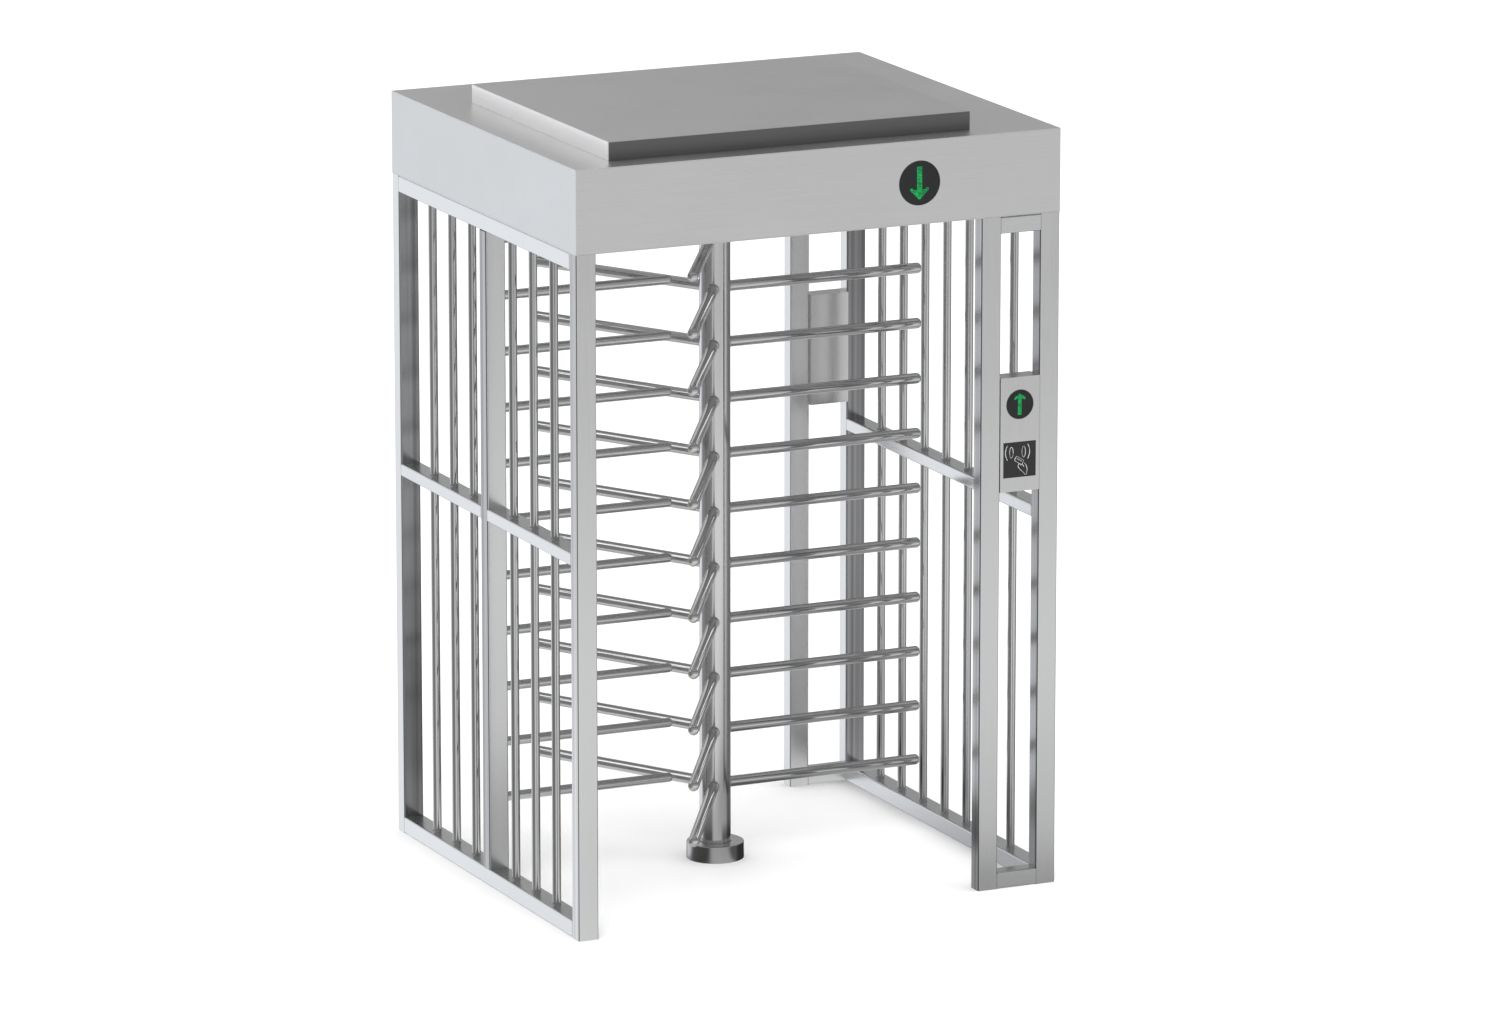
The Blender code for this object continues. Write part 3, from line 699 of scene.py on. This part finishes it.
def wings():
    """The three wings share one mesh, which is built along +X about the rotor's axis."""
    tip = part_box("wing_right")[1].x - AXIS_X
    column_low, column_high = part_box("rotor_column")
    column_radius = (column_high.x - column_low.x) / 2
    piece = Piece("wing_arms", "arm", "weld")
    for height in arm_heights():
        piece.lathe(bar_end(ARM_RADIUS, column_radius * ARM_SINK, tip), ARM_SIDES, along_x(0, height))
        piece.bead(saddle(ARM_RADIUS + BEAD_LIFT, column_radius + BEAD_LIFT, height), BEAD_RADIUS, 1)
    first = None
    for node, angle in WING_ANGLES.items():
        place = Matrix.Translation((AXIS_X, 0, 0)) @ Matrix.Rotation(radians(angle), 4, "Z")
        if first is None:
            piece.name = f"{node}_arms"
            first = piece.finish("rotor", "rotor_steel", node, place=place)
        else:
            show(first.data, f"{node}_arms", "rotor", "rotor_steel", node, place=place)


def rotor_column():
    low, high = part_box("rotor_column")
    radius = (high.x - low.x) / 2
    shaft = 0.020
    clearance = 0.003
    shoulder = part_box("canopy_base_plate")[0].z - clearance
    edge = 0.002
    soft = edge * 0.3
    wall = 0.003
    bore = radius - wall
    bore_top = low.z + 0.1
    profile = [(0, high.z), (shaft - edge, high.z), (shaft, high.z - edge), (shaft, shoulder)]
    profile += [(radius - edge, shoulder), (radius - soft, shoulder - soft), (radius, shoulder - edge)]
    profile += [(radius, low.z + edge / 2), (radius - edge / 2, low.z)]
    profile += [(bore, low.z), (bore, bore_top), (0, bore_top)]
    piece = Piece("rotor_column_tube", "column")
    piece.lathe(profile, COLUMN_SIDES, Matrix.Translation((AXIS_X, 0, 0)))
    piece.finish("rotor", "rotor_steel", "rotor_column")


def base_ring():
    low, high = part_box("base_ring")
    outer = (high.x - low.x) / 2
    bore = 0.0475
    edge = 0.0025
    soft = edge * 0.3
    same_place = 0.00001
    profile = [(bore, 0), (bore, high.z - edge / 2), (bore + edge / 2, high.z)]
    profile += [(outer - edge, high.z), (outer - soft, high.z - soft), (outer, high.z - edge)]
    profile += [(outer, 0), (bore, 0)]
    piece = Piece("base_ring_turned", "base", "base_top_light")
    piece.lathe(profile, COLUMN_SIDES, Matrix.Translation((AXIS_X, 0, 0)))
    bmesh.ops.remove_doubles(piece.bm, verts=piece.bm.verts, dist=same_place)
    piece.bm.normal_update()
    # The top face takes a lighter copy of the ring's steel: painted light.
    for face in piece.bm.faces:
        if face.calc_center_median().z > high.z - edge / 10:
            face.material_index = 1
    piece.finish("frame", "base_steel", "base_ring")


def comb_barrier():
    """The comb post with its bars, plugs and weld beads."""
    low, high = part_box("comb_barrier")
    post_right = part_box("left_front_post")[1].x
    sink = 0.001
    piece = Piece("comb_barrier_bars", "comb_post", "comb", "weld", "inner_side_shade")
    box_tube(piece, low, (post_right, high.y, high.z), 2)
    # The comb post's -X face takes a darker copy of the steel: painted shade.
    mark_faces(piece, (-1, 0, 0), 3)
    for arm_height in arm_heights():
        height = arm_height + COMB_RISE
        piece.lathe(bar_end(COMB_RADIUS, post_right - sink, high.x), ARM_SIDES, along_x(0, height), 1)
        ring = circle((post_right, 0, height), (1, 0, 0), COMB_RADIUS + BEAD_LIFT, ARM_SIDES)
        piece.bead(ring, BEAD_RADIUS, 2)
    piece.finish("frame", "frame_steel", "comb_barrier")


# ---------------------------------------------------------------- canopy


def canopy():
    dress("sheet_x", "canopy_front_panel", "canopy_rear_panel", "canopy_base_plate")
    # The top plate takes a lighter copy of the sheet steel: painted light.
    dress("top_plate", "canopy_top_plate")
    # The side panels take a darker copy of the sheet steel: painted shade.
    dress("sheet_y_shade", "canopy_left_panel", "canopy_right_panel")
    lid()


def lid():
    """The lid as folded sheet: soft edges on top, open below, painted shade on its front fold and painted
    light on its sides.
    """
    low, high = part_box("raised_lid")
    radius = 0.0025
    steps = 4
    straight = 0.9
    piece = Piece("raised_lid_sheet", "lid_top_light", "lid_front_shade", "lid_side_light")

    def outline(inset, height):
        start = (low.x + inset, low.y + inset)
        end = (high.x - inset, high.y - inset)
        return piece.ring([Vector((x, y, height)) for x, y in rounded_outline(start, end, radius, steps)])

    loops = [outline(WALL, high.z - WALL), outline(WALL, low.z)]
    loops += [outline(0, low.z), outline(0, high.z - radius)]
    for step in range(1, steps + 1):
        angle = pi / 2 * step / steps
        loops.append(outline(radius * (1 - cos(angle)), high.z - radius + radius * sin(angle)))
    for near, far in zip(loops, loops[1:]):
        piece.bridge(near, far)
    piece.cap(loops[0])
    piece.cap(loops[-1])
    piece.bm.normal_update()
    bmesh.ops.recalc_face_normals(piece.bm, faces=piece.bm.faces)
    # Painted shade on the front fold and painted light on the sides: darker and lighter copies of the lid's
    # steel.
    for face in piece.bm.faces:
        if face.normal.y < -straight and face.calc_center_median().y < low.y + WALL / 2:
            face.material_index = 1
        if abs(face.normal.x) > straight:
            face.material_index = 2
    piece.finish("frame", "canopy_steel", "raised_lid")


def dress(material, *nodes):
    """Gives CAD nodes whose shape stays a finished material."""
    for node in nodes:
        obj = NODES[node]
        if not obj.material_slots:
            obj.data.materials.append(MATERIALS[material])
        for slot in obj.material_slots:
            slot.material = MATERIALS[material]


# ---------------------------------------------------------------- displays and readers


def facing(centre, outward):
    """A placement whose Z axis points out of the front (-1) or the rear (+1) of the turnstile."""
    about = 0 if outward < 0 else pi
    return Matrix.Translation(centre) @ Matrix.Rotation(about, 4, "Z") @ Matrix.Rotation(pi / 2, 4, "X")


def arrow_lamps(pitch, rows, head, rise, barb):
    """The places of the lit lamps of an arrow that points up, about its own middle."""
    lamps = []
    for row in range(rows):
        from_tip = rows - 1 - row
        for reach in range(head):
            highest = reach * rise / head - 0.5
            lowest = rise - 1 + (barb if reach >= head - 2 else 0)
            if highest <= from_tip <= lowest or reach < 2:
                upward = (row - (rows - 1) / 2) * pitch
                lamps += [((reach + 0.5) * pitch, upward), (-(reach + 0.5) * pitch, upward)]
    return [lamp for lamp in lamps if lamp_is_under_tip(lamp, pitch, rows)]


def lamp_is_under_tip(lamp, pitch, rows):
    """The tip's row has its two middle lamps only."""
    top = (rows - 1) / 2 * pitch
    return lamp[1] < top - pitch / 2 or abs(lamp[0]) < pitch


def lens(node, outward, up, lens_material, pitch, rows, head, rise, barb):
    """A round lens in a bezel, with an arrow of lit lamps."""
    low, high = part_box(node)
    radius = (high.x - low.x) / 2
    depth = high.y - low.y
    face_y = low.y if outward < 0 else high.y
    centre = Vector(((low.x + high.x) / 2, face_y, (low.z + high.z) / 2))
    place = facing(centre, outward)
    recess = 0.0012
    rim = 0.0022
    edge = 0.0008
    slope = 0.0006
    crown = 0.0007
    steps = 5
    piece = Piece(f"{node}_lens", "bezel", lens_material, "green_lamp")
    outer = [(0, -depth), (radius, -depth), (radius, -edge), (radius - edge, 0)]
    piece.lathe(outer + [(radius - rim, 0), (radius - rim - slope, -recess)], LENS_SIDES, place)
    glass = radius - rim - slope
    angles = [pi / 2 * i / steps for i in range(steps)]
    bowl = [(glass * cos(a), -recess + crown * sin(a)) for a in angles]
    piece.lathe(bowl + [(0, -recess + crown)], LENS_SIDES, place, 1)
    lamp_radius = pitch * LAMP_FILL
    dot = [(0, 0), *((lamp_radius * part, height) for part, height in LAMP_PROFILE)]
    for across, upward in arrow_lamps(pitch, rows, head, rise, barb):
        spot = Vector((across, upward if up else -upward, -recess + LAMP_RISE))
        piece.lathe(dot, LAMP_SIDES, place @ Matrix.Translation(spot), 2)
    piece.finish("frame", "display_black", node)


def displays():
    large = {"lens_material": "large_lens", "pitch": LARGE_PITCH, "rows": 23, "head": 7, "rise": 7, "barb": 1}
    small = {"lens_material": "small_lens", "pitch": SMALL_PITCH, "rows": 21, "head": 6, "rise": 5, "barb": 1}
    for side, outward in (("front", -1), ("rear", 1)):
        lens(f"{side}_display", outward, False, **large)
        lens(f"{side}_indicator", outward, True, **small)


def stroke(piece, points, width, place, material, closed=False):
    """A flat printed line with a little height, along 2D points."""
    height = 0.0003
    count = len(points)
    edges = []
    for i, point in enumerate(points):
        before = points[i - 1] if closed or i else point
        after = points[(i + 1) % count] if closed or i < count - 1 else point
        along = Vector((after[0] - before[0], after[1] - before[1]))
        along.normalize()
        side = Vector((-along.y, along.x)) * width / 2
        left = (point[0] + side.x, point[1] + side.y)
        right = (point[0] - side.x, point[1] - side.y)
        ends = [Vector((*left, 0)), Vector((*left, height)), Vector((*right, height)), Vector((*right, 0))]
        edges.append(piece.ring([place @ end for end in ends]))
    steps = count if closed else count - 1
    for i in range(steps):
        piece.bridge(edges[i], edges[(i + 1) % count], material)
    if not closed:
        piece.cap(edges[0], material)
        piece.cap(edges[-1], material)


def arc(centre, radius, start, end, steps=14):
    spans = [radians(start + (end - start) * i / steps) for i in range(steps + 1)]
    return [(centre[0] + radius * cos(a), centre[1] + radius * sin(a)) for a in spans]


def contactless_symbol(piece, place, size, material):
    """A generic symbol: a hand that holds a card up to the waves of a reader."""
    unit = size / 2
    line = size * 0.014

    def scaled(points):
        return [(x * unit, y * unit) for x, y in points]

    middle = (-0.12, 0.42)
    for start, end in ((146, 214), (-34, 34)):
        stroke(piece, scaled(arc(middle, 0.75, start, end)), line * 1.3, place, material)
    for side in (-1, 1):
        oval = arc((0, 0), 1, 0, 345, 23)
        loop = [(middle[0] + side * 0.38 + 0.11 * x, middle[1] + 0.31 * y) for x, y in oval]
        stroke(piece, scaled(loop), line, place, material, closed=True)
    card = Matrix.Translation((-0.02, -0.06, 0)) @ Matrix.Rotation(radians(-32), 4, "Z")
    corners = rounded_outline((-0.27, -0.14), (0.27, 0.14), 0.05, 3)
    outline = [(card @ Vector((x, y, 0)))[:2] for x, y in corners]
    stripe = [(card @ Vector((x, 0.03, 0)))[:2] for x in (-0.18, 0.16)]
    stroke(piece, scaled(outline), line, place, material, closed=True)
    stroke(piece, scaled(stripe), line * 1.6, place, material)
    thumb = [(-0.03, -0.26), (-0.09, -0.36), (-0.06, -0.46), (0.08, -0.62), (0.24, -0.76), (0.38, -0.92)]
    palm = [(0.30, -0.24), (0.40, -0.34), (0.46, -0.48), (0.48, -0.64), (0.46, -0.78), (0.43, -0.90)]
    fingers = [(0.02, -0.30), (0.10, -0.34), (0.16, -0.30), (0.22, -0.34), (0.28, -0.46)]
    for points in (thumb, palm, fingers):
        stroke(piece, scaled(points), line * 1.2, place, material)


def card_reader(node, outward):
    """The reader's black face plate with rounded edges, and the symbol printed on it."""
    low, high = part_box(node)
    depth = high.y - low.y
    face_y = low.y if outward < 0 else high.y
    centre = Vector(((low.x + high.x) / 2, face_y, (low.z + high.z) / 2))
    place = facing(centre, outward)
    half = (high.x - low.x) / 2
    corner = 0.003
    corner_steps = 4
    edge = 0.0012
    edge_steps = 3
    sink = 0.0006
    piece = Piece(f"{node}_plate", "reader", "print")

    def outline(inset, height):
        reach = half - inset
        flat = rounded_outline((-reach, -reach), (reach, reach), corner, corner_steps)
        return piece.ring([place @ Vector((x, y, height)) for x, y in flat])

    loops = [outline(0, -depth), outline(0, -sink - edge)]
    for step in range(1, edge_steps + 1):
        angle = pi / 2 * step / edge_steps
        loops.append(outline(edge * (1 - cos(angle)), -sink - edge + edge * sin(angle)))
    for near, far in zip(loops, loops[1:]):
        piece.bridge(near, far)
    piece.cap(loops[0])
    piece.cap(loops[-1])
    contactless_symbol(piece, place @ Matrix.Translation((0, 0, -sink)), 2 * half, 1)
    piece.finish("frame", "reader_black", node)


def readers():
    dress("housing", "front_reader_housing", "rear_reader_housing")
    card_reader("front_card_reader", -1)
    card_reader("rear_card_reader", 1)


# ---------------------------------------------------------------- hidden mechanism


def mechanism():
    dress("machined", "bearing_beam", "bearing_housing", "index_disc", "entry_bolt", "exit_bolt")
    dress("coil_case", "entry_solenoid", "exit_solenoid")
    dress("controller_case", "controller_box")
    dress("bronze", "foot_bearing")


# ---------------------------------------------------------------- studio


# Azimuth in degrees from +X, and how bright the studio is there below the horizon
LOW_PANELS = (
    (-180, 0.28),
    (-150, 0.30),
    (-140, 0.36),
    (-131, 0.74),
    (-120, 0.96),
    (-98, 1.04),
    (-55, 1.00),
    (-30, 0.92),
    (-19, 0.72),
    (-12, 0.36),
    (0, 0.28),
    (25, 0.25),
    (66, 0.28),
    (90, 0.52),
    (102, 1.20),
    (127, 1.20),
    (138, 0.64),
    (150, 0.36),
    (180, 0.28),
)
# The same from the horizon to 25 degrees above it
MIDDLE_PANELS = (
    (-180, 0.30),
    (-98, 0.44),
    (-55, 0.44),
    (0, 0.30),
    (38, 0.40),
    (45, 1.25),
    (53, 1.25),
    (58, 0.55),
    (63, 0.36),
    (68, 0.46),
    (74, 0.76),
    (96, 0.85),
    (126, 0.90),
    (142, 0.55),
    (155, 0.32),
    (180, 0.30),
)
# The same from 35 to 55 degrees above the horizon
HIGH_PANELS = (
    (-180, 0.28),
    (136, 0.28),
    (146, 2.00),
    (166, 2.00),
    (176, 0.28),
    (180, 0.28),
)
# The azimuths whose light is a little cool, and its colour
COOL_AZIMUTHS = (102, 127, 138)
COOL = (0.965, 0.985, 1.02)
FLOOR_LIGHT = 0.85
POLE_LIGHT = 0.60
# Where one row of panels passes into the next, as the upward part of a direction of length 1
FLOOR_BAND = (-0.60, -0.40)
HORIZON_BAND = (0.02, 0.10)
HIGH_BAND = (0.42, 0.56)
POLE_BAND = (0.78, 0.92)


def azimuth_ramp(graph, turn, panels):
    """The light of one row of panels all the way round."""
    ramp = graph.add("ShaderNodeValToRGB", {"Fac": turn})
    stops = ramp.color_ramp.elements
    while len(stops) < len(panels):
        stops.new(0.5)
    for stop, (angle, level) in zip(stops, panels):
        cool = 1 if angle in COOL_AZIMUTHS else 0
        stop.position = (angle + 180) / 360
        stop.color = (*(level * (1 + cool * (channel - 1)) for channel in COOL), 1.0)
    return ramp.outputs["Color"]


def blend(graph, factor, first, second):
    """One colour that passes into another. Each is a socket or a plain level of light."""
    mixed = graph.add("ShaderNodeMix", {"Factor": factor}, data_type="RGBA")
    for key, colour in (("A", first), ("B", second)):
        if isinstance(colour, float):
            mixed.inputs[key].default_value = (colour, colour, colour, 1.0)
        else:
            graph.tree.links.new(colour, mixed.inputs[key])
    return mixed.outputs["Result"]


def studio_world():
    """Soft panels in front of and behind the object and dark flags at its sides, for reflections."""
    world = bpy.data.worlds.new("studio")
    world.use_nodes = True
    bpy.context.scene.world = world
    graph = Graph(world.node_tree)
    world.node_tree.nodes.clear()
    direction = graph.add("ShaderNodeTexCoord").outputs["Generated"]
    axes = graph.add("ShaderNodeSeparateXYZ", {"Vector": direction}).outputs
    azimuth = graph.maths("ARCTAN2", axes["Y"], axes["X"])
    turn = graph.spread(azimuth, -pi, pi, 0.0, 1.0)
    rows = [azimuth_ramp(graph, turn, panels) for panels in (LOW_PANELS, MIDDLE_PANELS, HIGH_PANELS)]
    bands = (FLOOR_BAND, HORIZON_BAND, HIGH_BAND, POLE_BAND)
    light = FLOOR_LIGHT
    for (start, end), row in zip(bands, (*rows, POLE_LIGHT)):
        passed = graph.spread(axes["Z"], start, end, 0.0, 1.0, smooth=True)
        light = blend(graph, passed, light, row)
    studio = graph.add("ShaderNodeBackground", {"Color": light, "Strength": 1.0})
    fill = graph.add("ShaderNodeBackground", {"Color": (1, 1, 1, 1), "Strength": FILL_STRENGTH})
    glossy = graph.add("ShaderNodeLightPath").outputs["Is Glossy Ray"]
    chosen = graph.add("ShaderNodeMixShader", {0: glossy, 1: fill.outputs[0], 2: studio.outputs[0]})
    output = graph.add("ShaderNodeOutputWorld")
    graph.tree.links.new(chosen.outputs[0], output.inputs["Surface"])


def flat_square(name, size, height, material):
    """A horizontal square about the origin."""
    bm = bmesh.new()
    bmesh.ops.create_grid(bm, x_segments=1, y_segments=1, size=size / 2)
    bmesh.ops.translate(bm, verts=bm.verts, vec=(0, 0, height))
    mesh = bpy.data.meshes.new(name)
    bm.to_mesh(mesh)
    bm.free()
    mesh.materials.append(material)
    obj = bpy.data.objects.new(name, mesh)
    bpy.context.scene.collection.objects.link(obj)
    return obj


# Azimuth in degrees round the rotor's foot, and how much light the floor there returns in reflections
FOOT_SHADE = (
    (-180, 0.50),
    (-142, 0.46),
    (-126, 1.0),
    (-74, 1.0),
    (-58, 0.32),
    (60, 0.32),
    (95, 1.0),
    (150, 1.0),
    (170, 0.50),
    (180, 0.50),
)


# Each shade on the floor runs between two places or distances in metres, from one tone to another
FAR_SHADE = (-8.2, -3.9, 0.74, 1.0)
LEFT_SHADE = (0.4, 2.6, 1.05, 1.0)
CORNER_SPOT = (1.2, -0.85)
CORNER_SHADE = (0.0, 2.6, 0.72, 1.0)
PASSAGE_SPOT = (0.35, -0.5)
PASSAGE_SHADE = (0.3, 1.1, 0.62, 1.0)
RING_REACH = (0.30, 0.50, 1.0, 0.0)


def floor_shade():
    """How dark the floor is in reflections: far off, near the right cage and round the rotor's foot."""
    made = bpy.data.materials.new("floor_shade")
    made.use_nodes = True
    made.node_tree.nodes.clear()
    graph = Graph(made.node_tree)
    place = graph.add("ShaderNodeTexCoord").outputs["Object"]
    axes = graph.add("ShaderNodeSeparateXYZ", {"Vector": place}).outputs

    def distance(x, y):
        node = graph.add("ShaderNodeVectorMath", {0: place, 1: (x, y, 0.0)}, operation="DISTANCE")
        return node.outputs["Value"]

    shade = graph.spread(axes["Y"], *FAR_SHADE, smooth=True)
    left = graph.spread(axes["X"], *LEFT_SHADE, smooth=True)
    corner = graph.spread(distance(*CORNER_SPOT), *CORNER_SHADE, smooth=True)
    passage = graph.spread(distance(*PASSAGE_SPOT), *PASSAGE_SHADE, smooth=True)
    azimuth = graph.maths("ARCTAN2", axes["Y"], graph.maths("SUBTRACT", axes["X"], AXIS_X))
    turn = graph.spread(azimuth, -pi, pi, 0.0, 1.0)
    near = graph.spread(distance(AXIS_X, 0.0), *RING_REACH, smooth=True)
    ring = blend(graph, near, 1.0, azimuth_ramp(graph, turn, FOOT_SHADE))
    for factor in (left, corner, passage, ring):
        shade = graph.times(shade, factor)
    clear = graph.add("ShaderNodeBsdfTransparent", {"Color": shade})
    output = graph.add("ShaderNodeOutputMaterial")
    graph.tree.links.new(clear.outputs[0], output.inputs["Surface"])
    return made


def ground():
    """A plain pale floor, and over it a square that only reflections see, which sets the floor's shade."""
    floor = flat_square("ground", GROUND_SIZE, 0.0, pale_ground())
    floor.visible_glossy = False
    shade = flat_square("ground_shade", GROUND_SIZE, -SHADE_DEPTH, floor_shade())
    shade.visible_camera = False
    shade.visible_diffuse = False
    shade.visible_shadow = False


def area_light(name, place, size, power):
    """A soft light that looks at the middle of the object."""
    data = bpy.data.lights.new(name, "AREA")
    data.shape = "SQUARE"
    data.size = size
    data.energy = power
    obj = bpy.data.objects.new(name, data)
    bpy.context.scene.collection.objects.link(obj)
    obj.location = place
    obj.rotation_euler = (Vector(LOOK_AT) - Vector(place)).to_track_quat("-Z", "Y").to_euler()
    obj.visible_glossy = False


def lights():
    for name, place, size, power in SOFT_LIGHTS:
        area_light(name, place, size, power)


def camera():
    """The camera looks down a little from the front left, from far away."""
    turn = radians(CAMERA_AZIMUTH)
    tilt = radians(CAMERA_ELEVATION)
    back = Vector((sin(turn) * cos(tilt), -cos(turn) * cos(tilt), sin(tilt)))
    right = Vector((cos(turn), sin(turn), 0))
    up = back.cross(right)
    location = Vector(LOOK_AT) + back * CAMERA_DISTANCE
    aim = Vector(LOOK_AT) + right * AIM_RIGHT - up * AIM_DOWN
    data = bpy.data.cameras.new("camera")
    data.lens = CAMERA_LENS
    data.sensor_width = CAMERA_SENSOR
    data.clip_end = VIEW_DEPTH
    obj = bpy.data.objects.new("camera", data)
    bpy.context.scene.collection.objects.link(obj)
    obj.location = location
    obj.rotation_euler = (aim - location).to_track_quat("-Z", "Y").to_euler()
    bpy.context.scene.camera = obj


bpy.context.scene.view_settings.view_transform = "Standard"
camera()
studio_world()
ground()
lights()
posts_and_rails()
rail_seams()
upright_bars()
rotor_column()
wings()
base_ring()
comb_barrier()
canopy()
displays()
readers()
mechanism()
